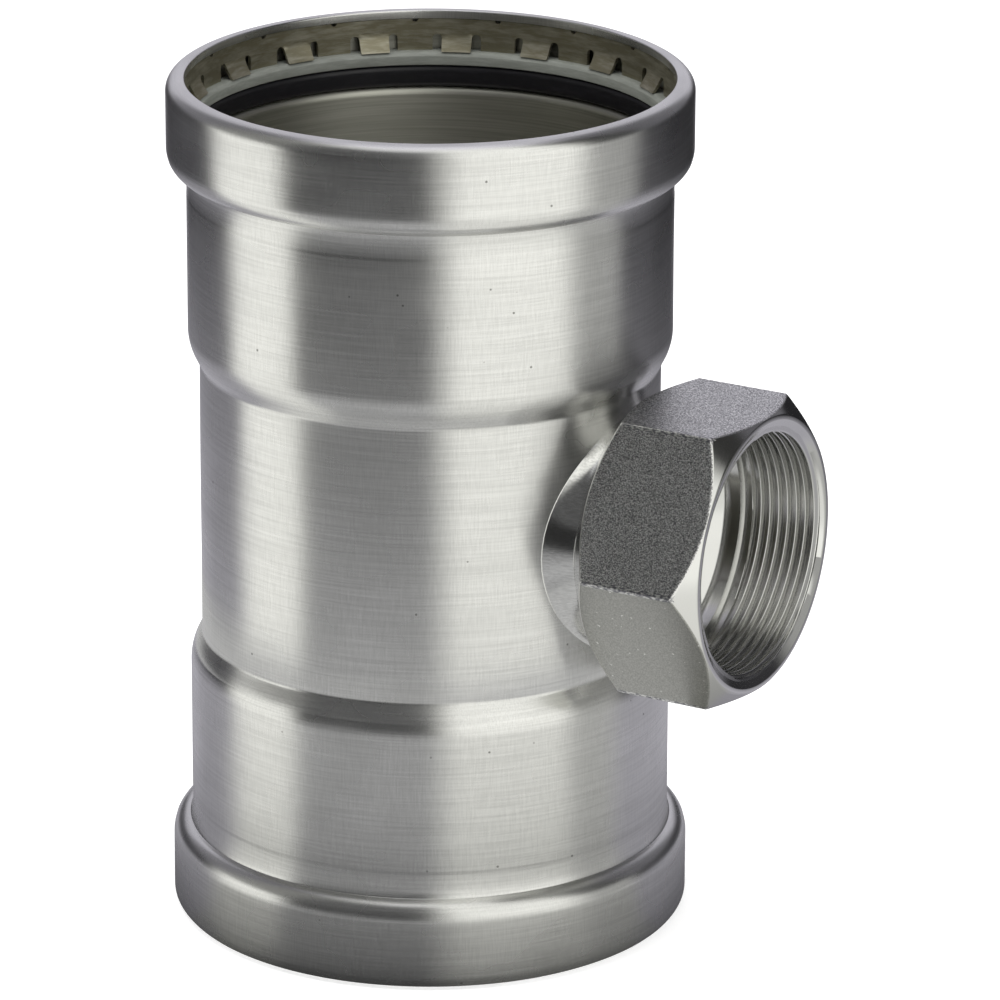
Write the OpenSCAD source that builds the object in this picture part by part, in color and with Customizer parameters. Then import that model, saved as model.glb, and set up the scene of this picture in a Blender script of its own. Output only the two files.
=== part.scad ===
// Press tee: a stainless run tube with a press socket at each end and a
// threaded hexagon end on the branch. Millimetres. The run lies along Z,
// the branch along +X, and the origin is where the two centre lines cross.

/* [Run tube] */
// Outer diameter of the tube that the tee is pressed on, and of its own middle
tube_od = 108; // [90:1:140]
// Sheet thickness of the pressed body
sheet = 2; // [1.5:0.1:2.6]
// Distance from the centre line of the branch to each tube stop
stop_from_centre = 41.3; // [38:0.5:60]
// Length of the drawn-in shoulder between the middle and a socket
shoulder_len = 9; // [6:0.5:12]

/* [Press sockets] */
// Insertion depth of the tube, from the stop to the end of the lip
insert_depth = 60.2; // [50:0.5:80]
// Radial clearance between the inserted tube and the socket
socket_clear = 0.65; // [0.3:0.05:1]
// Shallow relief that the forming tool leaves in the socket beside the bead
relief_depth = 0.15; // [0:0.05:0.3]
// Length of that relief
relief_len = 6.6; // [3:0.2:10]

/* [Beads] */
// Length of a bead along the tube
bead_len = 21.4; // [19:0.2:28]
// Height of a bead over its socket
bead_rise = 4.55; // [4:0.05:6]
// Outer radius at the shoulder of a bead
bead_round = 3; // [2.2:0.1:3.6]
// Outer radius where the lip of a bead turns in
lip_round = 3.2; // [2.4:0.1:4]
// Radial gap between the inserted tube and the edge of the lip
lip_gap = 2.8; // [2.2:0.1:3.2]
// Small break on the inner edge of the lip
lip_break = 0.45; // [0.2:0.05:0.8]

/* [Rings in the beads] */
// Gap between a ring and the wall of its groove
ring_clear = 0.2; // [0.1:0.05:0.4]
// Gap between the inserted tube and the rings, over the socket clearance
ring_inset = 0.15; // [0.05:0.05:0.3]
// Height of the rubber seal
seal_h = 6.3; // [5:0.1:7]
// Corner radius of the seal's inner edges
seal_round = 1.5; // [0.5:0.1:2]
// Height of the plastic ring between the seal and the grip ring
spacer_h = 3.2; // [2:0.1:4]
// Chamfer on the plastic ring's inner edge
spacer_chamfer = 0.6; // [0.2:0.1:1]
// Gap over the grip ring, under the lip
grip_gap = 0.2; // [0.1:0.05:0.5]
// Sheet thickness of the grip ring
grip_sheet = 1.1; // [0.8:0.1:1.4]
// Gap between the grip ring and the edge of the lip, measured radially
grip_back = 0.3; // [0:0.1:0.6]
// Number of tabs bent in from the grip ring
tab_count = 18; // [12:1:20]
// Width of a tab
tab_w = 7.2; // [5:0.2:8]
// Height of a tab
tab_h = 2.9; // [2:0.1:3.5]
// Sheet thickness of a tab
tab_sheet = 0.7; // [0.5:0.1:1]
// Radius of the round relief at each side of a tab
notch_r = 1.1; // [0.8:0.1:1.5]
// Turn of the first tab from the branch
tab_turn = 13.8; // [0:0.1:20]

/* [Branch neck] */
// Outer diameter of the neck drawn out of the tube
neck_od = 54; // [48:1:60]
// Height of the neck over the side of the tube
neck_rise = 0.6; // [0.4:0.1:30]
// Radius of the hollow blend where the neck rises from the tube
neck_blend = 2.2; // [1:0.1:4]

/* [Hexagon end] */
// Width across the flats of the hexagon
hex_af = 65.5; // [64:0.5:80]
// Length of the hexagon end, from the end of the neck to its face
hex_len = 33.8; // [31:0.1:60]
// Outer diameter of the flat face around the mouth
face_d = 64.8; // [63.6:0.1:65]
// Angle of the turned cone on the front corners, from the face
front_angle = 40; // [25:1:45]
// Angle of the turned cone on the back corners, from the face
back_angle = 35; // [20:1:40]
// Step from the neck out to the back cone
root_step = 1.6; // [0.4:0.1:3]

/* [Thread] */
// Minor diameter of the parallel pipe thread
thread_minor = 56.656; // [50:0.001:58]
// Major diameter of the thread
thread_major = 59.614; // [59:0.001:61]
// Length of the thread
thread_len = 16.8; // [12:0.1:20]
// Diameter of the countersink at the face
sink_d = 62.6; // [62:0.1:63.4]
// Width of the run-out groove behind the thread
groove_w = 2.5; // [1.5:0.1:4]
// Depth of that groove below the thread's major diameter, on the radius
groove_extra = 0.15; // [0.05:0.05:0.5]
// Diameter of the plain bore behind the groove
back_bore_d = 56; // [52:0.5:57]
// Length of the plain bore behind the groove
back_bore_len = 4; // [2:0.1:6]

/* [Hidden] */
$fn = 96;
// How far a cut runs past what it cuts
cut = 1;
// Length of a small slope
step = 1;
// Flats in a round of the outer line, the inner line and the seal
outer_steps = 7;
inner_steps = 5;
seal_steps = 4;

steel = [0.72, 0.72, 0.71];
hex_steel = [0.48, 0.48, 0.49];
rubber = [0.08, 0.08, 0.09];
plastic = [0.56, 0.57, 0.54];
grip_steel = [0.60, 0.59, 0.54];

tube_r = tube_od / 2;
bore_r = tube_r + socket_clear;
socket_r = bore_r + sheet;
bead_r = socket_r + bead_rise;
groove_r = bead_r - sheet;
lip_r = tube_r + lip_gap;
end_z = stop_from_centre + insert_depth;
bead_z = end_z - bead_len;
floor_z = bead_z + sheet;
roof_z = end_z - sheet;
shoulder_z = stop_from_centre - shoulder_len;
relief_z = bead_z - relief_len;

// The shoulder leaves the tube at an angle and runs out along the socket
shoulder_rise = socket_r - tube_r;
shoulder_rad = (shoulder_len * shoulder_len + shoulder_rise * shoulder_rise) / (2 * shoulder_rise);
shoulder_c = socket_r - shoulder_rad;
shoulder_out = -asin(shoulder_len / shoulder_rad);
shoulder_in = -acos((tube_r - sheet - shoulder_c) / (shoulder_rad - sheet));

seal_top = floor_z + seal_h;
spacer_top = seal_top + spacer_h;
ring_r = groove_r - ring_clear;
ring_in = bore_r + ring_inset;
grip_top = roof_z - grip_gap;
grip_in = lip_r + grip_back;
grip_out = grip_in + grip_sheet;
tab_top = spacer_top + tab_h;
notch_steps = 24;
tab_lean = asin((grip_in - ring_in - ring_inset) / (tab_h + notch_r));

neck_r = neck_od / 2;
neck_bore_r = neck_r - sheet;
neck_end = tube_r + neck_rise;
// Places around the foot of the neck, flats across its blend, how far the
// blend reaches into the tube and the neck, and how deep its ring starts
blend_turns = 72;
blend_steps = 5;
blend_bite = 0.04;
foot_depth = sheet / 3;

hex_r = hex_af / sqrt(3);
over_r = hex_r + cut;
root_r = neck_r + root_step;
face_x = neck_end + hex_len;
front_x = face_x - (hex_r - face_d / 2) * tan(front_angle);
back_x = neck_end + (hex_r - root_r) * tan(back_angle);
minor_r = thread_minor / 2;
major_r = thread_major / 2;
sink_r = sink_d / 2;
sink_x = face_x - (sink_r - major_r);
first_x = sink_x - (major_r - minor_r) / 2;
thread_x = sink_x - thread_len;
groove_x = thread_x - groove_w;
back_r = back_bore_d / 2;
bore_x = groove_x - back_bore_len;
throat_x = bore_x - (back_r - neck_bore_r);

// Points of an arc about [r, z], from angle a to angle b in n steps
function arc(r, z, rad, a, b, n) = [
    for (i = [0:n]) [r + rad * cos(a + (b - a) * i / n), z + rad * sin(a + (b - a) * i / n)]
];

// Outer and inner lines of the upper half of the sheet, from the middle to the lip
outer_line = concat(
    [[tube_r, 0]],
    arc(shoulder_c, stop_from_centre, shoulder_rad, shoulder_out, 0, outer_steps),
    [[socket_r, relief_z]],
    [[socket_r - relief_depth, relief_z + step]],
    [[socket_r - relief_depth, bead_z]],
    arc(bead_r - bead_round, bead_z + bead_round, bead_round, -90, 0, outer_steps),
    arc(bead_r - lip_round, end_z - lip_round, lip_round, 0, 90, outer_steps),
    [[lip_r + lip_break, end_z]],
    [[lip_r, end_z - lip_break]]
);
inner_line = concat(
    [[lip_r, roof_z]],
    arc(bead_r - lip_round, end_z - lip_round, lip_round - sheet, 90, 0, inner_steps),
    arc(bead_r - bead_round, bead_z + bead_round, bead_round - sheet, 0, -90, inner_steps),
    arc(bore_r + sheet, bead_z, sheet, 90, 180, inner_steps),
    arc(shoulder_c, stop_from_centre, shoulder_rad - sheet, 0, shoulder_in, outer_steps),
    [[tube_r - sheet, 0]]
);

function upside_down(line) = [for (i = [len(line) - 1:-1:1]) [line[i][0], -line[i][1]]];
function run_back(line) = [for (i = [len(line) - 2:-1:0]) [line[i][0], -line[i][1]]];

module along_x(x = 0) {
    translate([x, 0, 0])
        rotate([0, 90, 0])
            children();
}

// The run sheet with both sockets, turned in one piece
module run_shell() {
    rotate_extrude()
        polygon(concat(upside_down(outer_line), outer_line, inner_line, run_back(inner_line)));
}

module run_space() {
    translate([0, 0, -shoulder_z])
        cylinder(h = 2 * shoulder_z, r = tube_r - sheet);
}

// Centre of a ball that rolls in the corner between the tube and the neck,
// at the angle a around the branch
function ball_y(a) = (neck_r + neck_blend) * cos(a);
function ball_x(a) = sqrt(pow(tube_r + neck_blend, 2) - pow(ball_y(a), 2));
function ball(a) = [ball_x(a), ball_y(a), (neck_r + neck_blend) * sin(a)];
// Ways from that centre to the neck and to the tube, and the angle between them
function to_neck(a) = [0, -cos(a), -sin(a)];
function to_tube(a) = -[ball_x(a), ball_y(a), 0] / (tube_r + neck_blend);
function swing(a) = acos(to_neck(a) * to_tube(a));
// A point of the blend, t running from the neck at 0 to the tube at 1
function blend_way(a, t) =
    (sin((1 - t) * swing(a)) * to_neck(a) + sin(t * swing(a)) * to_tube(a)) / sin(swing(a));
function blend_point(a, t, rad) =
    ball(a) + (rad + (t == 0 || t == 1 ? blend_bite : 0)) * blend_way(a, t);
// A point at the given depths below the outside of the neck and of the tube
function below(a, depth) = [
    sqrt(pow(tube_r - depth, 2) - pow((neck_r - depth) * cos(a), 2)),
    (neck_r - depth) * cos(a),
    (neck_r - depth) * sin(a)
];

// A ring around the foot of the neck, round on the side of the rolling ball
module foot_ring(rad, depth) {
    ring = blend_steps + 2;
    polyhedron(
        points = [
            for (k = [0:blend_turns - 1], i = [0:ring - 1])
                let (a = k * 360 / blend_turns)
                    i == 0 ? below(a, depth) : blend_point(a, (i - 1) / blend_steps, rad)
        ],
        faces = [
            for (k = [0:blend_turns - 1], i = [0:ring - 1], half = [0, 1])
                let (here = k * ring, next = ((k + 1) % blend_turns) * ring, j = (i + 1) % ring)
                    half == 0 ? [here + i, next + i, here + j] : [here + j, next + i, next + j]
        ]
    );
}

// The outer blend, cut off at the end of the neck
module neck_foot() {
    intersection() {
        foot_ring(neck_blend, foot_depth);
        translate([0, -tube_r, -tube_r])
            cube([neck_end, tube_od, tube_od]);
    }
}

module tee_body() {
    color(steel)
        difference() {
            union() {
                run_shell();
                difference() {
                    along_x()
                        cylinder(h = neck_end, r = neck_r);
                    run_space();
                }
                neck_foot();
            }
            along_x()
                cylinder(h = neck_end + cut, r = neck_bore_r);
            foot_ring(neck_blend + sheet, sheet + step);
        }
}

// The hexagon bar, turned to a cone at both ends
module hex_blank() {
    intersection() {
        along_x(neck_end)
            rotate([0, 0, 30])
                cylinder(h = hex_len, r = hex_r, $fn = 6);
        along_x()
            rotate_extrude()
                polygon([
                    [0, neck_end],
                    [root_r, neck_end],
                    [over_r, back_x + cut * tan(back_angle)],
                    [over_r, front_x - cut * tan(front_angle)],
                    [face_d / 2, face_x],
                    [0, face_x]
                ]);
    }
}

module hex_bore() {
    along_x()
        rotate_extrude()
            polygon([
                [0, neck_end - cut],
                [neck_bore_r, neck_end - cut],
                [neck_bore_r, throat_x],
                [back_r, bore_x],
                [back_r, groove_x],
                [major_r + groove_extra, groove_x],
                [major_r + groove_extra, thread_x],
                [minor_r, thread_x],
                [minor_r, first_x],
                [major_r, sink_x],
                [sink_r, face_x],
                [sink_r, face_x + cut],
                [0, face_x + cut]
            ]);
}

module hex_thread_end() {
    color(hex_steel)
        difference() {
            hex_blank();
            hex_bore();
        }
}

module seal_ring() {
    color(rubber)
        rotate_extrude()
            polygon(concat(
                [[socket_r, floor_z]],
                [[ring_r - sheet / 2, floor_z]],
                [[ring_r, floor_z + sheet / 2]],
                [[ring_r, seal_top]],
                arc(ring_in + seal_round, seal_top - seal_round, seal_round, 90, 180, seal_steps),
                [[ring_in, floor_z + sheet]]
            ));
}

module spacer_ring() {
    color(plastic)
        rotate_extrude()
            polygon([
                [ring_in, seal_top],
                [ring_r, seal_top],
                [ring_r, spacer_top],
                [ring_in + spacer_chamfer, spacer_top],
                [ring_in, spacer_top - spacer_chamfer]
            ]);
}

// The gap in the grip ring around one tab, with a round relief at each side
module tab_gap() {
    half = tab_w / 2 + notch_r;
    depth = grip_sheet + 2 * cut;
    translate([grip_in - cut, -half, spacer_top - cut])
        cube([depth, 2 * half, tab_h + cut]);
    for (side = [-1, 1])
        translate([grip_in - cut, side * (tab_w / 2), tab_top])
            rotate([0, 90, 0])
                cylinder(h = depth, r = notch_r, $fn = notch_steps);
}

// One tab, bent in toward the tube from the sheet over the gap
module tab() {
    translate([grip_in, -tab_w / 2, tab_top + notch_r])
        rotate([0, tab_lean, 0])
            translate([0, 0, -tab_h - notch_r])
                cube([tab_sheet, tab_w, tab_h + notch_r + step]);
}

module grip_ring() {
    color(grip_steel)
        union() {
            difference() {
                rotate_extrude()
                    polygon([
                        [grip_in, spacer_top],
                        [grip_out, spacer_top],
                        [grip_out, grip_top],
                        [grip_in, grip_top]
                    ]);
                for (k = [0:tab_count - 1])
                    rotate([0, 0, tab_turn + k * 360 / tab_count])
                        tab_gap();
            }
            for (k = [0:tab_count - 1])
                rotate([0, 0, tab_turn + k * 360 / tab_count])
                    tab();
        }
}

module upper_seal_ring() seal_ring();
module upper_spacer_ring() spacer_ring();
module upper_grip_ring() grip_ring();

module lower_seal_ring()
    mirror([0, 0, 1])
        seal_ring();
module lower_spacer_ring()
    mirror([0, 0, 1])
        spacer_ring();
module lower_grip_ring()
    mirror([0, 0, 1])
        grip_ring();

tee_body();
hex_thread_end();
upper_seal_ring();
upper_spacer_ring();
upper_grip_ring();
lower_seal_ring();
lower_spacer_ring();
lower_grip_ring();
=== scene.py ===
"""A press tee with a threaded branch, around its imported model. Metres, +Z up the run, +X along the branch."""

import math

import bmesh
import bpy
import numpy as np
from mathutils import Matrix, Vector, noise


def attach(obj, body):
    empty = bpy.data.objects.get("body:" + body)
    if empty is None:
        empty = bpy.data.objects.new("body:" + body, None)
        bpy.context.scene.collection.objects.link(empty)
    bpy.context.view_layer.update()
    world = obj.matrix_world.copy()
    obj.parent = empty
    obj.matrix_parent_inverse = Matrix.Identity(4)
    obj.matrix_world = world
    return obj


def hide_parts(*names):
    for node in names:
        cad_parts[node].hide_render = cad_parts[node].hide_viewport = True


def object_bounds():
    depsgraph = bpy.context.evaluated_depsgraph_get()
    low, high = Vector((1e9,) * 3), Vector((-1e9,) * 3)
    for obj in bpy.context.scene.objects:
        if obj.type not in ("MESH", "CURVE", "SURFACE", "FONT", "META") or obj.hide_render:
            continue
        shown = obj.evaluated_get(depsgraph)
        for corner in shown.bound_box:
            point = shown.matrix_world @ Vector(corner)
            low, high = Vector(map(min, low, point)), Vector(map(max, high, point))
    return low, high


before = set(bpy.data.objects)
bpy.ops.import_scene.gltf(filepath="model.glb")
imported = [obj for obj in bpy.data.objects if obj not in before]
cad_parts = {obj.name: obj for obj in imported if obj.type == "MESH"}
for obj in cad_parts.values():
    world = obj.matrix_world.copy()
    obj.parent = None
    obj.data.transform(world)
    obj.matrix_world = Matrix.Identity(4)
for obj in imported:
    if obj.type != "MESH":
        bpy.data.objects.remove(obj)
cad_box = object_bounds()

# Camera
# The photograph was taken from the front right and a little above, with a long lens.
# Its picture is 1000 by 1000, and the tee fills it from top to bottom.
camera_out = 1.4947
camera_up = 0.52
camera_azimuth = math.radians(30.1)
camera_turn = math.radians(-0.629)
camera_tilt = math.radians(19.26)
camera_roll = math.radians(0.245)
camera_lens = 242.2
sensor_width = 36.0

facing = camera_azimuth + camera_turn
back = Vector((
    math.sin(facing) * math.cos(camera_tilt),
    -math.cos(facing) * math.cos(camera_tilt),
    math.sin(camera_tilt),
))
level = Vector((math.cos(facing), math.sin(facing), 0))
upright = back.cross(level)
right = math.cos(camera_roll) * level + math.sin(camera_roll) * upright
up = math.cos(camera_roll) * upright - math.sin(camera_roll) * level

camera = bpy.data.objects.new("camera", bpy.data.cameras.new("camera"))
bpy.context.scene.collection.objects.link(camera)
camera.data.lens = camera_lens
camera.data.sensor_width = sensor_width
camera.data.clip_start = 0.05
camera.data.clip_end = 50
place = Matrix((right, up, back)).transposed().to_4x4()
place.translation = (
    camera_out * math.sin(camera_azimuth),
    -camera_out * math.cos(camera_azimuth),
    camera_up,
)
camera.matrix_world = place
bpy.context.scene.camera = camera
bpy.context.scene.view_settings.view_transform = "Standard"


# Floor and air
# A wide sheet of white studio paper, and white air behind it. Both are as white for the
# eye as for metal that mirrors them, and the paper still takes the soft shadow of the tee.
def linear(code):
    """The linear colour of an sRGB hex code."""
    parts = [int(code[i:i + 2], 16) / 255 for i in (1, 3, 5)]
    return [*(p / 12.92 if p <= 0.04045 else ((p + 0.055) / 1.055) ** 2.4 for p in parts), 1.0]


def add(tree, kind, links=None, **settings):
    """Adds a node: settings are its own fields, and links are its sockets' values or sources."""
    node = tree.nodes.new(kind)
    for field, value in settings.items():
        setattr(node, field, value)
    for socket, value in (links or {}).items():
        if isinstance(value, bpy.types.NodeSocket):
            tree.links.new(value, node.inputs[socket])
        else:
            node.inputs[socket].default_value = value
    return node


def empty_material(name):
    """A new material with its nodes cleared."""
    material = bpy.data.materials.new(name)
    material.use_nodes = True
    material.node_tree.nodes.clear()
    return material


def seen_directly(tree):
    """1 for what the eye, a mirror or glass sees, and 0 for light on its way to a dull surface."""
    ray = add(tree, "ShaderNodeLightPath")
    seen = ray.outputs["Is Camera Ray"]
    for other in ("Is Glossy Ray", "Is Transmission Ray"):
        seen = add(tree, "ShaderNodeMath", {0: seen, 1: ray.outputs[other]}, operation="MAXIMUM").outputs[0]
    return seen


paper_white = "#f2f2f2"
paper_glow = 0.5
floor_half = 4.0
floor_z = cad_box[0].z

paper = empty_material("white_studio_paper")
tree = paper.node_tree
dull = add(tree, "ShaderNodeBsdfDiffuse", {"Color": linear(paper_white)})
glow_level = add(tree, "ShaderNodeMath", {0: seen_directly(tree), 1: paper_glow}, operation="MULTIPLY")
glow = add(tree, "ShaderNodeEmission", {"Strength": glow_level.outputs[0]})
both = add(tree, "ShaderNodeAddShader", {0: dull.outputs[0], 1: glow.outputs[0]})
add(tree, "ShaderNodeOutputMaterial", {"Surface": both.outputs[0]})

floor_mesh = bpy.data.meshes.new("floor")
floor_mesh.from_pydata(
    [(x * floor_half, y * floor_half, floor_z) for x, y in ((-1, -1), (1, -1), (1, 1), (-1, 1))],
    [], [(0, 1, 2, 3)],
)
floor = bpy.data.objects.new("floor", floor_mesh)
bpy.context.scene.collection.objects.link(floor)
floor_mesh.materials.append(paper)

air_dim = 0.55
world = bpy.data.worlds.new("studio_air")
bpy.context.scene.world = world
world.use_nodes = True
tree = world.node_tree
tree.nodes.clear()
air_level = add(tree, "ShaderNodeMapRange", {"Value": seen_directly(tree), "To Min": air_dim, "To Max": 1.0})
air = add(tree, "ShaderNodeBackground", {"Color": linear("#ffffff"), "Strength": air_level.outputs[0]})
add(tree, "ShaderNodeOutputWorld", {"Surface": air.outputs[0]})


# Lamps and tent
# Three big soft lamps light the paper and the dull rings. Bright metal is photographed in a tent of white and
# dark cloth, open at the top, which gives it its upright bands. Only mirrors see this one.
def lamp(name, azimuth, elevation, distance, size, power):
    """A square soft lamp that looks at the middle of the tee, and that no mirror shows."""
    a, e = math.radians(azimuth), math.radians(elevation)
    away = Vector((math.sin(a) * math.cos(e), -math.cos(a) * math.cos(e), math.sin(e)))
    data = bpy.data.lights.new(name, "AREA")
    data.shape = "SQUARE"
    data.size = size
    data.energy = power
    made = bpy.data.objects.new(name, data)
    bpy.context.scene.collection.objects.link(made)
    made.location = away * distance
    made.rotation_mode = "QUATERNION"
    made.rotation_quaternion = away.to_track_quat("Z", "Y")
    made.visible_glossy = False


lamp("key_lamp", -55, 50, 1.6, 1.2, 9)
lamp("fill_lamp", 95, 45, 1.6, 1.2, 6)
lamp("top_lamp", 30, 88, 1.6, 1.4, 8)

# Each zone of the tent: the first and last way that the tube mirrors it, in degrees from the camera, its
# colour, and its brightness on the floor close to the tee, at three places farther out, at the foot of the
# wall and high on it. The dimmer floor close to the tee is a painted shadow of the tee.
tent_zones = [
    (-180, -172, "#f0eef8", 0.25, 0.45, 0.70, 0.60, 0.60, 0.70),
    (-162, -154, "#f0eef8", 0.36, 0.52, 0.57, 0.40, 0.05, 0.70),
    (-142, -112, "#f0eef8", 0.32, 0.40, 0.46, 0.36, 0.05, 0.22),
    (-102, -72, "#fffffa", 0.30, 0.80, 1.02, 1.12, 1.16, 0.25),
    (-63, -2, "#f8f8f9", 0.19, 0.32, 0.58, 0.34, 0.03, 0.12),
    (14, 63, "#fffffa", 0.34, 0.60, 0.92, 0.98, 1.20, 1.15),
    (76, 95, "#fbfbf8", 0.32, 0.42, 0.58, 0.50, 0.44, 0.04),
    (104, 120, "#f0eef8", 0.34, 0.47, 0.60, 0.24, 0.045, 0.16),
    (134, 146, "#f0eef8", 0.34, 0.47, 0.60, 0.18, 0.025, 0.20),
    (156, 164, "#f0eef8", 0.34, 0.47, 0.60, 0.18, 0.025, 0.70),
    (174, 180, "#f0eef8", 0.25, 0.45, 0.70, 0.60, 0.60, 0.70),
]
# The tent's outline: how far out, how high over the floor, and which of the six brightnesses it has there,
# from 0 to 5. Black would be -1, and 6 is the white ceiling over the open top. Next to the tee's foot it
# falls towards black, a painted shadow of the tee.
tent_line = [
    (0.001, 0.0005, 2), (0.05, 0.0005, 2), (0.0585, 0.0005, -0.7), (0.075, 0.0005, -0.25), (0.087, 0.0005, 0),
    (0.10, 0.0005, 0), (0.118, 0.0005, 1), (0.20, 0.0005, 2), (0.40, 0.0005, 3), (0.62, 0.0005, 4),
    (0.75, 0.05, 4), (0.75, 0.20, 4), (0.75, 0.27, 5), (0.50, 0.95, 5), (0.25, 1.10, 6), (0.01, 1.15, 6),
]
ceiling = 1.1
tent_turns = 240
tube_out = 0.054
bead_out = 0.0585


def hang(name, verts, paint, material):
    """Hangs up rings of painted points as one cloth that only mirrors see."""
    faces = [
        (k * tent_turns + c, k * tent_turns + (c + 1) % tent_turns,
         (k + 1) * tent_turns + (c + 1) % tent_turns, (k + 1) * tent_turns + c)
        for k in range(len(verts) // tent_turns - 1) for c in range(tent_turns)
    ]
    mesh = bpy.data.meshes.new(name)
    mesh.from_pydata(verts, [], faces)
    mesh.color_attributes.new("paint", "FLOAT_COLOR", "POINT").data.foreach_set("color", paint)
    material.cycles.emission_sampling = "NONE"
    mesh.materials.append(material)
    made = bpy.data.objects.new(name, mesh)
    bpy.context.scene.collection.objects.link(made)
    made.visible_camera = False
    made.visible_diffuse = False
    made.visible_shadow = False
    made.visible_transmission = False


tints = np.array([linear(zone[2])[:3] for zone in tent_zones])
stops = [edge for zone in tent_zones for edge in zone[:2]]
verts, paint = [], []
for out, height, kind in tent_line:
    # A ray leaves the tube's side and not its axis, so close to the tube it lands less far round
    reach = min(1, tube_out / max(out, bead_out))
    leads = [math.asin(reach * math.sin(math.radians(stop / 2))) for stop in stops]
    bearings = [stop - math.degrees(lead) for stop, lead in zip(stops, leads)]
    levels = [np.interp(kind, range(-1, 7), [0, *zone[3:], ceiling]) for zone in tent_zones]
    colours = np.repeat(tints * np.array(levels)[:, None], 2, axis=0)
    for c in range(tent_turns):
        bearing = 360 * c / tent_turns - 180
        a = math.radians(bearing) + camera_azimuth
        verts.append((out * math.sin(a), -out * math.cos(a), floor_z + height))
        paint += [*(np.interp(bearing, bearings, colours[:, k]) for k in range(3)), 1]

cloth = empty_material("tent_cloth")
tree = cloth.node_tree
painted = add(tree, "ShaderNodeVertexColor", layer_name="paint")
shine = add(tree, "ShaderNodeEmission", {"Color": painted.outputs["Color"]})
add(tree, "ShaderNodeOutputMaterial", {"Surface": shine.outputs[0]})
hang("tent", verts, paint, cloth)

# A flat white ring card round the tee's foot, which shows only from above
foot_card_height = 0.064
foot_card_line = [(0.0575, 0.60), (0.070, 0.58), (0.080, 0.52)]
verts = [
    (out * math.sin(a), -out * math.cos(a), floor_z + foot_card_height)
    for out, level in foot_card_line for a in np.linspace(0, 2 * math.pi, tent_turns, endpoint=False)
]
paint = [part for out, level in foot_card_line for part in (level, level, level, 1) * tent_turns]
card = empty_material("white_foot_card")
tree = card.node_tree
painted = add(tree, "ShaderNodeVertexColor", layer_name="paint")
shine = add(tree, "ShaderNodeEmission", {"Color": painted.outputs["Color"]})
clear = add(tree, "ShaderNodeBsdfTransparent")
above = add(tree, "ShaderNodeNewGeometry").outputs["Backfacing"]
one_sided = add(tree, "ShaderNodeMixShader", {0: above, 1: clear.outputs[0], 2: shine.outputs[0]})
add(tree, "ShaderNodeOutputMaterial", {"Surface": one_sided.outputs[0]})
hang("foot_card", verts, paint, card)


# Run body
# One stainless tube of 2 mm sheet, widened to a socket and a bead at each end in a press,
# with the neck of the branch drawn out of its side. Sizes are in millimetres.
tube_r = 54.0
sheet = 2.0
stop_z = 41.3
shoulder_turn = 27.0
shoulder_round = 12.0
crease_round = 2.0
bore_r = 54.65
socket_r = bore_r + sheet
relief_z = 73.5
relief_r = socket_r - 0.06
bead_z = 80.1
bead_r = 61.2
bead_round = 4.0
bead_round_up = 5.0
bead_foot = 0.25
flare = 0.4
end_z = 101.5
lip_round = 3.2
lip_r = 56.8
lip_break = 0.45

# The shoulder: a convex bend below the socket, a short cone, and a concave bend onto the tube
shoulder_lean = math.radians(shoulder_turn)
cone_low_r = tube_r + crease_round * (1 - math.cos(shoulder_lean))
cone_top_r = socket_r - shoulder_round * (1 - math.cos(shoulder_lean))
cone_top_z = stop_z - shoulder_round * math.sin(shoulder_lean)
cone_low_z = cone_top_z - (cone_top_r - cone_low_r) / math.tan(shoulder_lean)
crease_z = cone_low_z - crease_round * math.sin(shoulder_lean)


def arc(r, z, rad, first, last, steps):
    """Points of an arc about (r, z), angles in degrees."""
    return [
        (r + rad * math.cos(math.radians(a)), z + rad * math.sin(math.radians(a)))
        for a in np.linspace(first, last, steps + 1)
    ]


def straight(first, last, steps):
    """Points between two ends, without the ends."""
    return [
        (first[0] + (last[0] - first[0]) * k / steps, first[1] + (last[1] - first[1]) * k / steps)
        for k in range(1, steps)
    ]


def upper_line(depth):
    """Half a side of the sheet, from the middle to above the stop, at a depth under its outside."""
    crease = arc(tube_r + crease_round, crease_z, crease_round + depth, 180, 180 - shoulder_turn, 8)
    bend = arc(socket_r - shoulder_round, stop_z, shoulder_round - depth, -shoulder_turn, 0, 12)
    return [
        *straight((tube_r - depth, 0), (tube_r - depth, crease_z), 8),
        *crease,
        *straight(crease[-1], bend[0], 4),
        *bend,
    ]


relief_low = relief_z + 1
relief_high = bead_z - bead_foot
outer_upper = [
    *upper_line(0),
    (socket_r, 46), (socket_r, 55), (socket_r, 64), (socket_r, relief_z),
    (socket_r - 0.01, relief_z + 0.3), (relief_r + 0.01, relief_z + 0.7), (relief_r, relief_low),
    *(
        (relief_r + flare * part ** 2, relief_low + (relief_high - relief_low) * part)
        for part in np.linspace(0, 1, 7)[1:]
    ),
    *arc(relief_r + flare + bead_foot, relief_high, bead_foot, 170, 90, 4)[1:],
    *(
        (r, bead_z + (z - bead_z) * bead_round_up / bead_round)
        for r, z in arc(bead_r - bead_round, bead_z + bead_round, bead_round, -90, 0, 12)
    ),
    (bead_r, 87), (bead_r, 91), (bead_r, 95),
    *arc(bead_r - lip_round, end_z - lip_round, lip_round, 0, 90, 10),
    *arc(lip_r + lip_break, end_z - lip_break, lip_break, 90, 180, 4),
]
ring_groove_r = bead_r - sheet
roof_z = end_z - sheet
inner_floor = 83.0
inner_upper = [
    *upper_line(sheet),
    (bore_r, 46), (bore_r, 55), (bore_r, 64), (bore_r, 72),
    *arc(bore_r + sheet, inner_floor - sheet, sheet, 180, 90, 8),
    *arc(ring_groove_r - 1, inner_floor + 1, 1, -90, 0, 5),
    (ring_groove_r, 87), (ring_groove_r, 91), (ring_groove_r, 95),
    *arc(bead_r - lip_round, end_z - lip_round, lip_round - sheet, 0, 90, 5),
    (lip_r, roof_z),
]
outer_line = [*((r, -z) for r, z in reversed(outer_upper)), (tube_r, 0), *outer_upper]
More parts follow.
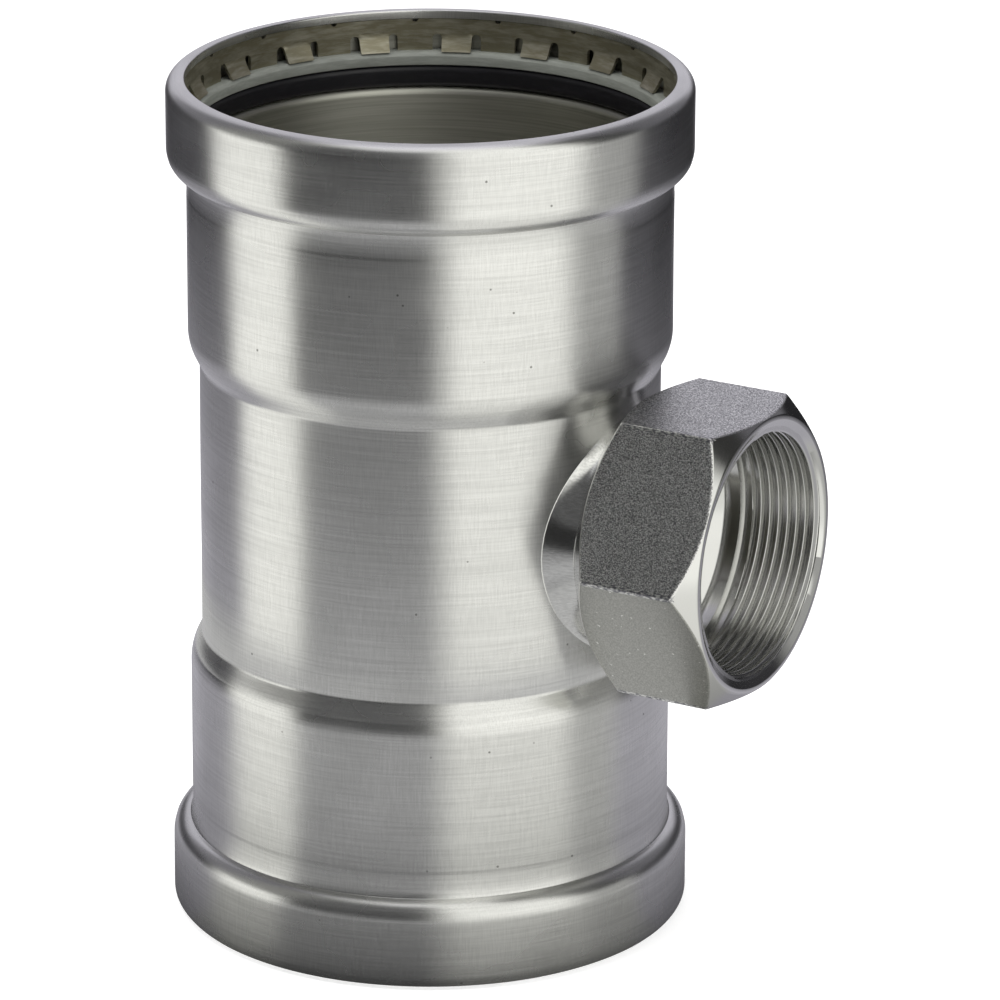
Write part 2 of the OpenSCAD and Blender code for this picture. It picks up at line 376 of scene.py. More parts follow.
inner_line = [*((r, -z) for r, z in reversed(inner_upper)), (tube_r - sheet, 0), *inner_upper]
section = outer_line + inner_line[::-1]

neck_r = 27.0
neck_end = 54.6
swell_wide = 6.0
swell_high = 2.6
swell_height = 0.40
swell_top_height = 0.12
flare_width = 1.8
flare_height = 6.0
flare_first = math.radians(60)
flare_last = math.radians(85)
weld_wide = 1.5
weld_step = 0.32
turns = 240
patch_turns = 33
patch_z = crease_z
rings_swell = 12
rings_flare = 14
rings_out = 24


def side_patch(line, hole_r, step, at, verts, faces):
    """Fills the window in the run's side with rings around the neck, whose end widens by a step.

    at maps a place in the grid to its number. Gives the last ring, and the count of faces before the neck.
    """
    rows = [k for k, (r, z) in enumerate(line) if abs(z) <= patch_z + 0.01]
    wall = line[rows[0]][0]
    low, high = rows[0], rows[-1]
    edge = [(low, c) for c in range(-patch_turns, patch_turns)]
    edge += [(k, patch_turns) for k in rows[:-1]]
    edge += [(high, c) for c in range(patch_turns, -patch_turns, -1)]
    edge += [(k, -patch_turns) for k in reversed(rows[1:])]
    foot_r = hole_r + flare_width
    previous = [at(k, c) for k, c in edge]
    border = [(wall * math.sin(2 * math.pi * c / turns), line[k][1]) for k, c in edge]
    angles = [math.atan2(z, y) for y, z in border]
    widths = [swell_wide * math.cos(a) ** 2 + swell_high * math.sin(a) ** 2 for a in angles]
    # The neck is long on the run's two sides and all but gone above and below. There each rise takes no more
    # than a share of the room that is left
    rooms = [neck_end - math.sqrt(wall ** 2 - (hole_r * math.cos(a)) ** 2) for a in angles]

    def ring_at(places, lifts):
        """A ring of points on the wall at the given places, each drawn out by its lift."""
        ring = []
        for (y, z), lift in zip(places, lifts):
            turn = math.asin(y / wall)
            ring.append((wall * math.cos(turn) + lift, y, z))
        stitch(ring)

    def stitch(ring):
        """Adds a ring of points and joins it to the one before."""
        nonlocal previous
        first = len(verts)
        verts.extend(ring)
        here = list(range(first, first + len(ring)))
        for i in range(len(here)):
            j = (i + 1) % len(here)
            faces.append((previous[i], previous[j], here[j], here[i]))
        previous = here

    def round_foot(outs):
        """Places in a ring round the foot of the neck, each farther out by its own amount."""
        return [((foot_r + out) * math.cos(a), (foot_r + out) * math.sin(a)) for a, out in zip(angles, outs)]

    rim = round_foot(widths)
    heights = [swell_height * math.cos(a) ** 2 + swell_top_height * math.sin(a) ** 2 for a in angles]
    swells = [min(height, 0.3 * room) for height, room in zip(heights, rooms)]
    for part in [k / rings_out for k in range(rings_out - 1, 0, -1)]:
        places = [
            (y * part + near_y * (1 - part), z * part + near_z * (1 - part))
            for (y, z), (near_y, near_z) in zip(border, rim)
        ]
        ring_at(places, [0] * len(angles))
    for part in [*np.linspace(1, 0, rings_swell + 1)[:-1], 0.02, 0]:
        ring_at(round_foot([width * part for width in widths]), [swell * (1 - part) ** 2 for swell in swells])
    before_neck = len(faces)
    for part in [0.03, *np.linspace(0, 1, rings_flare + 1)[1:]]:
        turn = flare_first + (flare_last - flare_first) * part
        inward = (math.sin(turn) - math.sin(flare_first)) / (math.sin(flare_last) - math.sin(flare_first))
        rise = (math.cos(flare_first) - math.cos(turn)) / (math.cos(flare_first) - math.cos(flare_last))
        lifts = [
            swell + min(flare_height, 0.9 * (room - swell)) * rise for room, swell in zip(rooms, swells)
        ]
        ring_at(round_foot([-flare_width * inward] * len(angles)), lifts)
    starts = [verts[i][0] for i in previous]
    seams = [neck_end - min(weld_wide, 0.8 * (neck_end - x)) for x in starts]
    for part in (0.5, 1.0):
        stitch([
            (x + (seam - x) * part, hole_r * math.cos(a), hole_r * math.sin(a))
            for x, seam, a in zip(starts, seams, angles)
        ])
    for part in (0.08, 0.5, 1.0):
        r = hole_r + step * part
        stitch([
            (seam + (neck_end - seam) * part, r * math.cos(a), r * math.sin(a))
            for seam, a in zip(seams, angles)
        ])
    return previous, before_neck


def body_mesh():
    """The revolved sheet in millimetres, with a window for the neck in its outer and its inner skin."""
    verts, faces = [], []
    number = {}
    rows = len(section)
    for k, (r, z) in enumerate(section):
        for c in range(turns):
            bearing = c if c <= turns // 2 else c - turns
            if abs(z) < patch_z - 0.01 and abs(bearing) < patch_turns:
                continue
            number[k, c] = len(verts)
            a = 2 * math.pi * c / turns
            verts.append((r * math.cos(a), r * math.sin(a), z))
    inner_first = number[len(outer_line), turns // 2]
    for k in range(rows):
        after = (k + 1) % rows
        for c in range(turns):
            corners = [(k, c), (k, (c + 1) % turns), (after, (c + 1) % turns), (after, c)]
            if all(corner in number for corner in corners):
                low, high = sorted((section[k][1], section[after][1]))
                bearing = c if c < turns // 2 else c - turns
                beside_neck = low > -patch_z - 0.01 and high < patch_z + 0.01
                if beside_neck and high > low and -patch_turns <= bearing < patch_turns:
                    continue
                faces.append(tuple(number[corner] for corner in corners))
    slots = [1 if min(face) >= inner_first else 0 for face in faces]
    outer_ring, before_neck = side_patch(
        outer_line, neck_r, weld_step, lambda k, c: number[k, c % turns], verts, faces,
    )
    slots += [0] * (before_neck - len(slots))
    slots += [2] * (len(faces) - len(slots))
    inner_ring = side_patch(
        inner_line, neck_r - sheet, 0, lambda k, c: number[rows - 1 - k, c % turns], verts, faces,
    )[0]
    slots += [1] * (len(faces) - len(slots))
    count = len(outer_ring)
    for i in range(count):
        j = (i + 1) % count
        faces.append((outer_ring[i], outer_ring[j], inner_ring[j], inner_ring[i]))
    return verts, faces, slots + [0] * count


def mesh_object(name, verts, faces, *materials, slots=None, sharp=40):
    """A smooth object from points in millimetres. slots gives each face's material."""
    mesh = bpy.data.meshes.new(name)
    mesh.from_pydata((np.array(verts) / 1000).tolist(), [], faces)
    for material in materials:
        mesh.materials.append(material)
    if slots:
        mesh.polygons.foreach_set("material_index", slots)
    work = bmesh.new()
    work.from_mesh(mesh)
    bmesh.ops.remove_doubles(work, verts=work.verts, dist=1e-7)
    bmesh.ops.dissolve_degenerate(work, edges=work.edges, dist=1e-7)
    bmesh.ops.recalc_face_normals(work, faces=work.faces)
    work.to_mesh(mesh)
    work.free()
    mesh.shade_smooth()
    mesh.set_sharp_from_angle(angle=math.radians(sharp))
    made = bpy.data.objects.new(name, mesh)
    bpy.context.scene.collection.objects.link(made)
    return made


# Brushed stainless sheet: fine scratches run round the tube, so a light smears along it. The eye sees upright
# bands with a hair-fine level grain, and a slightly warm grey. The real scratches are some 0.05 mm apart, too
# fine to show, so they are drawn 0.2 mm and 0.6 mm apart, and the ticks across them 0.3 mm.
sheet_roughness = 0.27
brushed = empty_material("brushed_stainless_sheet")
tree = brushed.node_tree
where = add(tree, "ShaderNodeTexCoord").outputs["Object"]


def grain(tree, where, sizes_mm, detail=2.0, rough=0.5, offset=0.0):
    """Noise whose grains have the given length along each axis."""
    stretch = add(
        tree, "ShaderNodeMapping",
        {"Vector": where, "Location": (offset,) * 3, "Scale": [1000 / size for size in sizes_mm]},
    )
    grains = add(
        tree, "ShaderNodeTexNoise",
        {"Vector": stretch.outputs[0], "Scale": 1.0, "Detail": detail, "Roughness": rough},
    )
    return grains.outputs["Fac"]


hairs = grain(tree, where, (9, 9, 0.20), detail=3.0)
long_hairs = grain(tree, where, (26, 26, 0.60), detail=0.5, offset=3.1)
clouds = grain(tree, where, (22, 22, 16), detail=2.0, offset=7.7)
ticks = grain(tree, where, (0.30, 0.30, 4), detail=1.0, offset=1.7)
weave = add(tree, "ShaderNodeMath", {0: hairs, 1: ticks}, operation="ADD")
weave = add(tree, "ShaderNodeMath", {0: weave.outputs[0], 1: long_hairs}, operation="ADD")
streaks = add(tree, "ShaderNodeMapRange", {"Value": weave.outputs[0], "From Min": 1.1, "From Max": 1.9})
tint = add(
    tree, "ShaderNodeMix",
    {"Factor": streaks.outputs[0], "A": linear("#d2d2d0"), "B": linear("#e5e5e3")},
    data_type="RGBA",
)

# Dark specks of dirt, about half a millimetre across and sparsely strewn
spots = add(tree, "ShaderNodeTexVoronoi", {"Vector": where, "Scale": 1000 / 8})
spot_mask = add(
    tree, "ShaderNodeMapRange",
    {"Value": spots.outputs["Distance"], "From Min": 0.025, "From Max": 0.045, "To Min": 0.7, "To Max": 0.0},
)
tint = add(
    tree, "ShaderNodeMix",
    {"Factor": spot_mask.outputs[0], "A": tint.outputs["Result"], "B": linear("#4a4843")},
    data_type="RGBA",
)
roughness = add(
    tree, "ShaderNodeMapRange",
    {"Value": clouds, "From Min": 0.3, "From Max": 0.7,
     "To Min": sheet_roughness - 0.03, "To Max": sheet_roughness + 0.04},
)
bump = add(tree, "ShaderNodeBump", {"Height": long_hairs, "Strength": 0.2, "Distance": 0.00005})
around = add(tree, "ShaderNodeTangent", direction_type="RADIAL", axis="Z")
metal = add(
    tree, "ShaderNodeBsdfPrincipled",
    {"Base Color": tint.outputs["Result"], "Metallic": 1.0, "Roughness": roughness.outputs[0],
     "Anisotropic": 0.7, "Anisotropic Rotation": 0.25, "Tangent": around.outputs[0],
     "Normal": bump.outputs[0]},
)
add(tree, "ShaderNodeOutputMaterial", {"Surface": metal.outputs[0]})

wave_depth = 0.16
wave_length = 24.0


def waved(verts, depth, length, axis):
    """Pulls points in towards an axis by a slow wave, as pressed sheet is never quite true."""
    moved = []
    for point in verts:
        out = Vector(point)
        out[axis] = 0
        # The groove stays true, because the rings lie in it
        in_groove = bead_z - 1 < abs(point[2]) < roof_z and out.length < bead_r - 0.5
        pull = 0 if in_groove else depth * (0.5 + 0.5 * noise.noise(Vector(point) / length))
        moved.append(tuple(Vector(point) - out.normalized() * pull))
    return moved


# Inside, the sheet keeps its rolled skin: duller, browner and without the brush's streaks.
rolled = empty_material("rolled_stainless_sheet")
tree = rolled.node_tree
where = add(tree, "ShaderNodeTexCoord").outputs["Object"]
spin = grain(tree, where, (30, 30, 0.5), detail=3.0)
spun = add(tree, "ShaderNodeMapRange", {"Value": spin, "From Min": 0.35, "From Max": 0.65})
tint = add(
    tree, "ShaderNodeMix",
    {"Factor": spun.outputs[0], "A": linear("#b4b4aa"), "B": linear("#c8c7be")},
    data_type="RGBA",
)
marks = add(tree, "ShaderNodeBump", {"Height": spin, "Strength": 0.12, "Distance": 0.00008})
around = add(tree, "ShaderNodeTangent", direction_type="RADIAL", axis="Z")
metal = add(
    tree, "ShaderNodeBsdfPrincipled",
    {"Base Color": tint.outputs["Result"], "Metallic": 1.0, "Roughness": 0.44, "Anisotropic": 0.5,
     "Anisotropic Rotation": 0.25, "Tangent": around.outputs[0], "Normal": marks.outputs[0]},
)
add(tree, "ShaderNodeOutputMaterial", {"Surface": metal.outputs[0]})

# The neck is ironed smooth by the punch and die that draw it, so it mirrors more sharply than the brushed
# sheet, with faint drawing lines along the branch.
drawn = empty_material("drawn_stainless_neck")
tree = drawn.node_tree
where = add(tree, "ShaderNodeTexCoord").outputs["Object"]
pulls = grain(tree, where, (6, 0.4, 0.4), detail=2.0)
pulled = add(tree, "ShaderNodeMapRange", {"Value": pulls, "From Min": 0.35, "From Max": 0.65})
tint = add(
    tree, "ShaderNodeMix",
    {"Factor": pulled.outputs[0], "A": linear("#d0d0ce"), "B": linear("#e2e2e0")},
    data_type="RGBA",
)
lines = add(tree, "ShaderNodeBump", {"Height": pulls, "Strength": 0.15, "Distance": 0.00005})
metal = add(
    tree, "ShaderNodeBsdfPrincipled",
    {"Base Color": tint.outputs["Result"], "Metallic": 1.0, "Roughness": 0.16, "Normal": lines.outputs[0]},
)
add(tree, "ShaderNodeOutputMaterial", {"Surface": metal.outputs[0]})

verts, faces, slots = body_mesh()
verts = waved(verts, wave_depth, wave_length, axis=2)
body = mesh_object("run_body", verts, faces, brushed, rolled, drawn, slots=slots)
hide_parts("tee_body")
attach(body, "root")


# Hexagon end
# Turned from hexagon bar: both ends' corners are coned off, the mouth is countersunk and threaded inside,
# and a thin weld joins its back to the neck.
hex_flat = 65.5 / 2
hex_corner = 0.5
hex_bevel = 0.22
cone_edge = 0.2
face_edge = 0.15
edge_short = 0.03
edge_long = 0.04
root_r = 28.6
root_x = neck_end
back_angle = math.radians(35)
face_x = 88.4
face_r = 32.4
front_angle = math.radians(40)
sink_r = 31.3
major_r = 29.807
minor_r = 28.328
pitch = 2.309
sink_depth = 0.86
sink_steep = 3.5
sink_x = face_x - sink_depth
thread_x = 70.107
runout_r = 29.957
runout_x = 67.607
back_r = 28.0
bore_x = 63.607
bore_edge = 0.3
throat_r = neck_r - sheet
throat_x = bore_x - (back_r - throat_r)
throat_edge = 0.2
turn_rows = 20
crest_part = 0.40
root_part = 0.12
fade_length = 0.5
weld_rise = 0.35


def hex_radius(a):
    """The hexagon's radius at an angle, with its corners slightly rounded."""
    corner = (hex_flat - hex_corner) / math.cos(math.pi / 6)
    off = (a + math.pi / 6) % (math.pi / 3) - math.pi / 6
    reach = math.atan2(hex_corner * 0.5, corner + hex_corner * math.cos(math.pi / 6))
    if abs(off) < reach:
        return corner * math.cos(off) + math.sqrt(hex_corner ** 2 - (corner * math.sin(off)) ** 2)
    return hex_flat / math.cos(math.pi / 6 - abs(off))


def thread_depth(part):
    """How deep the thread is at a part of a turn, 0 at a crest and 1 at a root, with both rounded."""
    slope = 2 * min(part, 1 - part)
    ramp = min(1, max(0, (slope - crest_part) / (1 - crest_part - root_part)))
    return ramp * ramp * (3 - 2 * ramp)


def hex_column(a):
    """The half section of the hexagon end at an angle, from the throat round its outside to the bore."""
    h = hex_radius(a)
    back_x = root_x + (h - root_r) * math.tan(back_angle)
    front_x = face_x - (h - face_r) * math.tan(front_angle)
    line = [(root_x, throat_r), (root_x, neck_r)]
    line += [
        (root_x - weld_rise * math.sin(math.pi * k / 6), neck_r + (root_r - neck_r) * k / 6)
        for k in range(1, 6)
    ]
    line += [(root_x, root_r)]
    for part in (0.5, 0.92, 1.0):
        r = root_r + (h - hex_bevel - root_r) * part
        line.append((root_x + (r - root_r) * math.tan(back_angle), r))
    line += [(back_x + hex_bevel, h), (back_x + 2.5 * hex_bevel, h)]
    middle = (back_x + front_x) / 2
    line += [((back_x + middle) / 2, h), (middle, h), ((front_x + middle) / 2, h)]
    line += [(front_x - 2.5 * hex_bevel, h), (front_x - hex_bevel, h)]
    foot_r = face_r + cone_edge
    for part in (1.0, 0.9, 0.5, 0.1):
        r = foot_r + (h - hex_bevel - foot_r) * part
        line.append((face_x - (r - face_r) * math.tan(front_angle), r))
    line += [(face_x - edge_short, face_r + edge_long), (face_x, face_r - face_edge)]
    line += [(face_x, sink_r + face_edge), (face_x - edge_long, sink_r + edge_short)]
    rows = int((sink_x - thread_x) / pitch * turn_rows) + turn_rows + 2
    for k in range(rows, -turn_rows, -1):
        x = thread_x + pitch * (k / turn_rows + a / (2 * math.pi))
        x = min(sink_x, max(thread_x, x))
        part = ((x - thread_x) / pitch - a / (2 * math.pi)) % 1
        depth = thread_depth(part) if x < sink_x else 1
        fade = min(1, (x - thread_x) / fade_length)
        r = minor_r + (major_r - minor_r) * (depth * fade + 1 - fade)
        line.append((x, max(r, major_r - sink_steep * (sink_x - x))))
    line += [(thread_x - 0.05, runout_r), (runout_x + bore_edge, runout_r), (runout_x, back_r)]
    line += [((runout_x + bore_x) / 2, back_r), (bore_x + bore_edge, back_r)]
    line += [(bore_x - bore_edge, back_r - bore_edge)]
    line += [(throat_x + throat_edge, throat_r + throat_edge), (throat_x - throat_edge, throat_r)]
    line += [((throat_x + root_x) / 2, throat_r)]
    return line


# Columns of points lie close together round each corner, and evenly on the flats between
corner_steps = [-0.6, -0.38, -0.2, 0, 0.2, 0.38, 0.6]
flat_step = 1.25
hex_angles = []
for k in range(6):
    hex_angles += [60 * k + step for step in (*corner_steps, *np.arange(flat_step, 59, flat_step))]
columns = [hex_column(math.radians(a)) for a in hex_angles]
verts = [
    (x, r * math.cos(math.radians(a)), r * math.sin(math.radians(a)))
    for a, column in zip(hex_angles, columns) for x, r in column
]
n = len(columns[0])
first_row = next(k for k, (x, r) in enumerate(columns[0]) if x == sink_x)
last_row = first_row + int((sink_x - thread_x) / pitch * turn_rows) + 2 * turn_rows + 1

# The rows of faces on the flats and on the corners, and the angles between which a face is on a flat
flat_rows = range(11, 18)
corner_rows = range(10, 19)
corner_end = 1.2
corner_start = 58.7
# From this angle on the flats face down, and take the paler colour of painted light
lower_flats = 180


def finish(row, angle):
    """The number of a face's material: 0 blasted, 1 turned, 2 painted paler for the flats that face down, 3
    rubbed, 4 bored.
    """
    if row > first_row:
        return 4
    if row in corner_rows and not corner_end < angle % 60 < corner_start:
        return 3
    if row in flat_rows:
        return 2 if angle > lower_flats else 0
    return 1


faces = []
slots = []
for c in range(len(columns)):
    for k in range(n):
        here = (k, (k + 1) % n)
        there = here
        if c == len(columns) - 1:
            # The thread climbs by its pitch in one turn, so its last rows meet the first ones a turn on
            there = [max(first_row, row - turn_rows) if first_row <= row <= last_row else row for row in here]
        after = (c + 1) % len(columns) * n
        corners = list(dict.fromkeys((c * n + here[0], c * n + here[1], after + there[1], after + there[0])))
        if len(corners) > 2:
            faces.append(tuple(corners))
            slots.append(finish(k, hex_angles[c]))

# Drawn bar with a blasted skin: small pits that scatter the light, a darker and cooler grey than the tube.
# The real grit leaves pits of 0.1 mm, which are drawn 0.24 mm wide to show, on a faint mottle of 0.6 mm.
bar = empty_material("blasted_stainless_bar")
tree = bar.node_tree
where = add(tree, "ShaderNodeTexCoord").outputs["Object"]
small = grain(tree, where, (0.24, 0.24, 0.24), detail=1.0, rough=0.6)
large = grain(tree, where, (0.60, 0.60, 0.60), detail=1.0, rough=0.6, offset=5.3)
pits = add(tree, "ShaderNodeMix", {"Factor": 0.15, "A": small, "B": large}).outputs["Result"]
specks = add(tree, "ShaderNodeMapRange", {"Value": pits, "From Min": 0.42, "From Max": 0.60})
tint = add(
    tree, "ShaderNodeMix",
    {"Factor": specks.outputs[0], "A": linear("#7b7b7d"), "B": linear("#fbfbfa")},
    data_type="RGBA",
)
pitted = add(tree, "ShaderNodeBump", {"Height": pits, "Strength": 0.5, "Distance": 0.00012})
metal = add(
    tree, "ShaderNodeBsdfPrincipled",
    {"Base Color": tint.outputs["Result"], "Metallic": 1.0, "Roughness": 0.36, "Normal": pitted.outputs[0]},
)
add(tree, "ShaderNodeOutputMaterial", {"Surface": metal.outputs[0]})

# The corners between the flats are knocked and rubbed bright, in ragged spots.
worn = empty_material("rubbed_stainless_corner")
tree = worn.node_tree
where = add(tree, "ShaderNodeTexCoord").outputs["Object"]
chips = grain(tree, where, (1.1, 0.4, 0.4), detail=3.0, rough=0.7)
chip_mask = add(tree, "ShaderNodeMapRange", {"Value": chips, "From Min": 0.46, "From Max": 0.56})
tint = add(
    tree, "ShaderNodeMix",
    {"Factor": chip_mask.outputs[0], "A": linear("#85858a"), "B": linear("#f2f2ef")},
    data_type="RGBA",
)
chipped = add(tree, "ShaderNodeBump", {"Height": chips, "Strength": 0.6, "Distance": 0.0002})
metal = add(
    tree, "ShaderNodeBsdfPrincipled",
    {"Base Color": tint.outputs["Result"], "Metallic": 1.0, "Roughness": 0.3, "Normal": chipped.outputs[0]},
)
add(tree, "ShaderNodeOutputMaterial", {"Surface": metal.outputs[0]})

# The flats that face down get a paler, more even colour than the upper ones: painted light. They are also a
# little smoother, with the odd nick.
painted_lit_flats = empty_material("painted_lit_lower_flats")
tree = painted_lit_flats.node_tree
where = add(tree, "ShaderNodeTexCoord").outputs["Object"]
fine = grain(tree, where, (0.30, 0.45, 0.45), detail=2.0)
nicks = grain(tree, where, (1.3, 1.3, 1.3), detail=1.0, offset=4.2)
nick_mask = add(tree, "ShaderNodeMapRange", {"Value": nicks, "From Min": 0.72, "From Max": 0.78})
relief = add(tree, "ShaderNodeMath", {0: fine, 1: nick_mask.outputs[0]}, operation="ADD")
patches = add(tree, "ShaderNodeMapRange", {"Value": fine, "From Min": 0.35, "From Max": 0.65})
mottle = add(
    tree, "ShaderNodeMix",
    {"Factor": patches.outputs[0], "A": linear("#a8a8a3"), "B": linear("#c4c4bf")},
    data_type="RGBA",
)
nicked = add(
    tree, "ShaderNodeMix",
    {"Factor": nick_mask.outputs[0], "A": mottle.outputs["Result"], "B": linear("#fafaf6")},
    data_type="RGBA",
)
scratched = add(tree, "ShaderNodeBump", {"Height": relief.outputs[0], "Strength": 0.25, "Distance": 0.00006})
metal = add(
    tree, "ShaderNodeBsdfPrincipled",
    {"Base Color": nicked.outputs["Result"], "Metallic": 1.0, "Roughness": 0.34,
     "Normal": scratched.outputs[0]},
)
add(tree, "ShaderNodeOutputMaterial", {"Surface": metal.outputs[0]})

# The same steel after the lathe: hair-fine rings round the branch, and a clean bright grey. Inside, where
# the tool chatters, the rings smear the light more along the bore.
cut_depth_mm = 0.04
turned_looks = []
for name, rough, smear in (("turned_stainless", 0.15, 0.4), ("bored_stainless", 0.19, 0.5)):
    turned = empty_material(name)
    tree = turned.node_tree
    where = add(tree, "ShaderNodeTexCoord").outputs["Object"]
    hairs = grain(tree, where, (0.16, 9, 9), detail=2.0)
    cut_marks = add(
        tree, "ShaderNodeBump",
        {"Height": hairs, "Strength": 0.12, "Distance": cut_depth_mm / 1000},
    )
    around = add(tree, "ShaderNodeTangent", direction_type="RADIAL", axis="X")
    metal = add(
        tree, "ShaderNodeBsdfPrincipled",
        {"Base Color": linear("#dadad8"), "Metallic": 1.0, "Roughness": rough, "Anisotropic": smear,
         "Anisotropic Rotation": 0.25, "Tangent": around.outputs[0], "Normal": cut_marks.outputs[0]},
    )
    add(tree, "ShaderNodeOutputMaterial", {"Surface": metal.outputs[0]})
    turned_looks.append(turned)
turned, bored = turned_looks

hexagon = mesh_object("hexagon_end", verts, faces, bar, turned, painted_lit_flats, worn, bored, slots=slots, sharp=62)
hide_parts("hex_thread_end")
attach(hexagon, "root")


# Seal and spacer rings
# A black rubber ring lies in the bottom of each bead, with a grey plastic ring on it. Both are moulded, and
# pushed in by hand.
seal_top = 88.4
seal_in = 54.8
ring_out = 59.0
seal_round = 1.5
spacer_top = 91.6
spacer_in = 54.8
spacer_slope = 0.9
ring_turns = 180


def revolved(line):
    """A closed section turned round the run, as points and faces."""
    n = len(line)
    verts = [
        (r * math.cos(2 * math.pi * c / ring_turns), r * math.sin(2 * math.pi * c / ring_turns), z)
        for c in range(ring_turns) for r, z in line
    ]
    faces = [
        (c * n + k, c * n + (k + 1) % n, (c + 1) % ring_turns * n + (k + 1) % n, (c + 1) % ring_turns * n + k)
        for c in range(ring_turns) for k in range(n)
    ]
    return verts, faces


seal_line = [
    *arc(seal_in + seal_round, inner_floor + seal_round, seal_round, -90, -180, 8),
    *arc(seal_in + seal_round, seal_top - seal_round, seal_round, 180, 90, 8),
    *arc(ring_out - 0.4, seal_top - 0.4, 0.4, 90, 0, 3),
    *arc(ring_out - 0.4, inner_floor + 0.4, 0.4, 0, -90, 3),
]
spacer_line = [
    (spacer_in + 0.2, seal_top), (spacer_in, seal_top + 0.2),
    (spacer_in, spacer_top - spacer_slope - 0.1), (spacer_in + 0.08, spacer_top - spacer_slope + 0.05),
    (spacer_in + spacer_slope - 0.1, spacer_top - 0.1), (spacer_in + spacer_slope + 0.1, spacer_top),
    (ring_out - 0.2, spacer_top), (ring_out, spacer_top - 0.2),
    (ring_out, seal_top + 0.2), (ring_out - 0.2, seal_top),
]


def handled(name, colour, pale, rough, metallic=0.0, bump_mm=0.0, speck_mm=1.0, rubbed=0.6):
    """A material with a fine unevenness, paler where it is rubbed. A higher rubbed leaves less of that."""
    material = empty_material(name)
    tree = material.node_tree
    where = add(tree, "ShaderNodeTexCoord").outputs["Object"]
    marks = grain(tree, where, (speck_mm, speck_mm, speck_mm * 0.5), detail=3.0)
    smears = grain(tree, where, (speck_mm * 6, speck_mm * 6, speck_mm), detail=3.0, rough=0.7, offset=2.3)
    rubs = add(
        tree, "ShaderNodeMapRange",
        {"Value": smears, "From Min": rubbed - 0.2, "From Max": rubbed + 0.1},
    )
    tint = add(
        tree, "ShaderNodeMix",
        {"Factor": rubs.outputs[0], "A": linear(colour), "B": linear(pale)},
        data_type="RGBA",
    )
    uneven = add(tree, "ShaderNodeBump", {"Height": marks, "Strength": 0.4, "Distance": bump_mm / 1000})
    look = add(
        tree, "ShaderNodeBsdfPrincipled",
        {"Base Color": tint.outputs["Result"], "Metallic": metallic, "Roughness": rough,
         "Normal": uneven.outputs[0]},
    )
    add(tree, "ShaderNodeOutputMaterial", {"Surface": look.outputs[0]})
    return material


# Moulded rubber: black with a broad soft shine, a little dusty. Moulded plastic: a satin greenish grey.
rubber = handled("moulded_black_rubber", "#121116", "#222126", 0.42, bump_mm=0.05, rubbed=0.7)
plastic = handled("moulded_grey_plastic", "#7f827b", "#90938c", 0.45, bump_mm=0.04)


def both_ends(name, verts, faces, material, slot):
    """Puts a ring of the upper socket, and its mirror image in the lower one, in place of the model's."""
    for end, side in (("upper", 1), ("lower", -1)):
        placed = [(x, y, z * side) for x, y, z in verts]
        made = mesh_object(f"{end}_{name}_dressed", placed, faces, material)
        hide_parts(f"{end}_{name}")
        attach(made, "root")


both_ends("seal_ring", *revolved(seal_line), rubber, "seal_rubber")
both_ends("spacer_ring", *revolved(spacer_line), plastic, "ring_plastic")


# Grip rings
# A hoop of stainless strip lies under each lip. Between pairs of round-topped slots 18 tabs are bent inwards,
# which bite into the tube when the bead is pressed. The hoop is rolled, and sprung into the bead.
grip_in = 57.1
grip_sheet = 0.9
grip_low = spacer_top + 0.05
grip_top = 99.3
slot_z = 94.5
slot_r = 1.1
tab_half = 3.6
tab_count = 18
tab_turn = math.radians(13.8)
tab_reach = 2.05
tab_curve = 1.4
tab_thinning = 0.7
tab_root = 95.3
nick_r = 0.75
grip_period = 2 * math.pi * grip_in / tab_count


def grip_stops():
    """Places along a period of the hoop, its edges there, and whether strip below joins each to the next."""
    stops = [(u, slot_z, grip_top, True) for u in np.linspace(-tab_half, tab_half, 7)]
    for middle, after in ((tab_half + slot_r, True), (grip_period - tab_half - slot_r, False)):
        stops[-1] = (*stops[-1][:3], False)
        stops += [
            (middle - slot_r * math.cos(a), slot_z + slot_r * math.sin(a), grip_top, False)
            for a in np.linspace(0, math.pi, 9)[1:-1]
        ]
        if after:
            first, last, nick = middle + slot_r, grip_period - middle - slot_r, grip_period / 2
            stops += [(u, slot_z, grip_top, True) for u in np.linspace(first, nick - nick_r, 4)[:-1]]
            stops += [
                (nick - nick_r * math.cos(a), slot_z, grip_top - nick_r * math.sin(a), True)
                for a in np.linspace(0, math.pi, 9)
            ]
            stops += [(u, slot_z, grip_top, True) for u in np.linspace(nick + nick_r, last, 4)[1:]]
    return stops


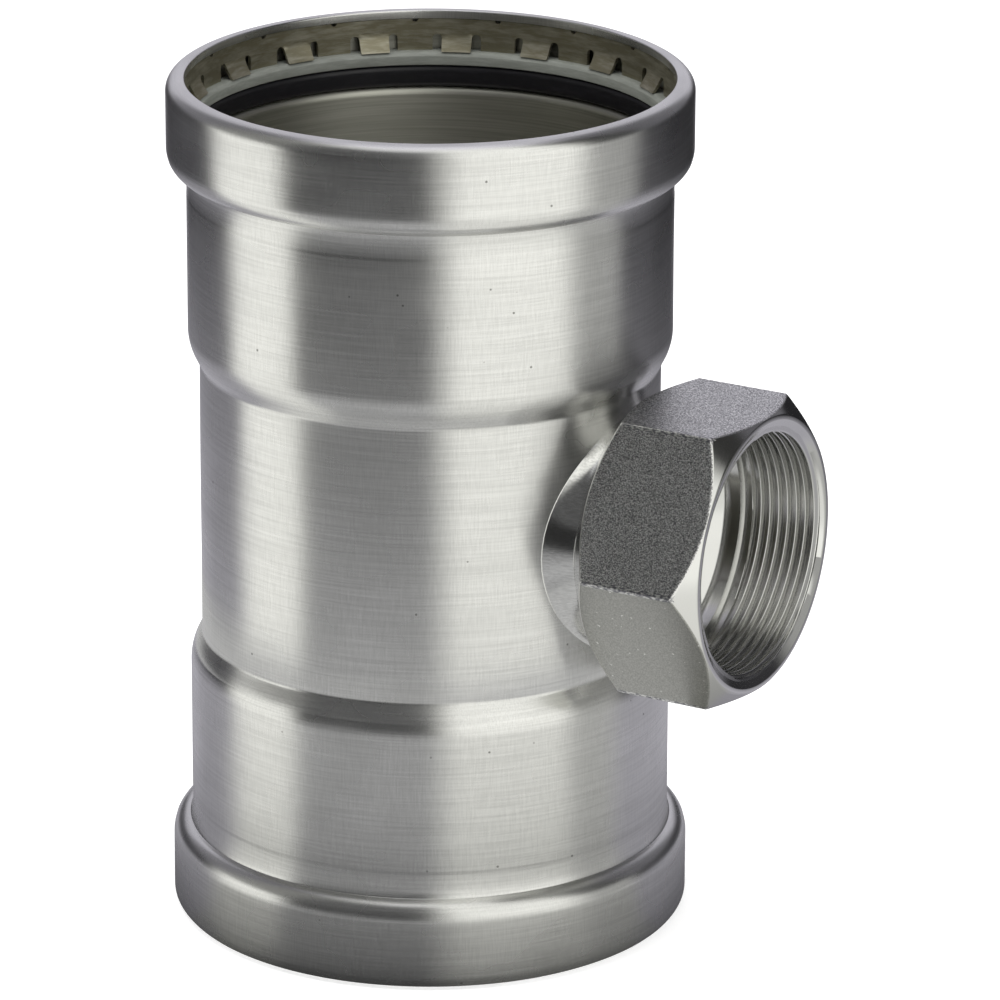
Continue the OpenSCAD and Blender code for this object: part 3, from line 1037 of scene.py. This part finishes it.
def grip_mesh():
    """The hoop and its tabs, as an inner and an outer skin with walls between their borders."""
    stops = grip_stops()
    low_rows, high_rows = 5, 6
    grid = {}
    verts, faces = [], []
    places = [(tab, i) for tab in range(tab_count) for i in range(len(stops))]
    for column, (tab, i) in enumerate(places):
        u, low, top = stops[i][:3]
        in_tab = abs(u) <= tab_half + 0.01
        heights = [low + (top - low) * k / high_rows for k in range(high_rows + 1)]
        if abs(low - slot_z) < 0.001:
            heights = [grip_low + (slot_z - grip_low) * k / low_rows for k in range(low_rows)] + heights
        offset = low_rows + high_rows + 1 - len(heights)
        a = tab_turn + 2 * math.pi * tab / tab_count + u / grip_in
        for k, z in enumerate(heights):
            bend = max(0, (tab_root - z) / (tab_root - grip_low)) if in_tab else 0
            r = grip_in - tab_reach * bend ** tab_curve
            lean = tab_curve * tab_reach * bend ** (tab_curve - 1) / (tab_root - grip_low) if bend else 0
            thick = grip_sheet * (tab_thinning if in_tab else 1) / math.hypot(1, lean)
            grid[column, k + offset] = len(verts)
            for out, rise in ((0, 0), (thick, -lean * thick)):
                verts.append(((r + out) * math.cos(a), (r + out) * math.sin(a), max(grip_low, z + rise)))
    edges = {}
    for column, (tab, i) in enumerate(places):
        after = (column + 1) % len(places)
        first = 0 if stops[i][3] else low_rows
        for k in range(first, low_rows + high_rows):
            corners = [(column, k), (after, k), (after, k + 1), (column, k + 1)]
            if not all(corner in grid for corner in corners):
                continue
            ids = [grid[corner] for corner in corners]
            faces.append(tuple(ids))
            faces.append(tuple(i + 1 for i in reversed(ids)))
            for p, q in zip(ids, ids[1:] + ids[:1]):
                edges[p, q] = True
    for p, q in edges:
        if (q, p) not in edges:
            faces.append((q, p, p + 1, q + 1))
    return verts, faces


# Pressed strip: dull brownish steel with an oily film, rubbed paler in places.
strip_steel = handled(
    "pressed_steel_strip", "#948f7a", "#bdb9a8", 0.46, metallic=0.85, bump_mm=0.14, speck_mm=1.4, rubbed=0.62,
)
both_ends("grip_ring", *grip_mesh(), strip_steel, "grip_steel")
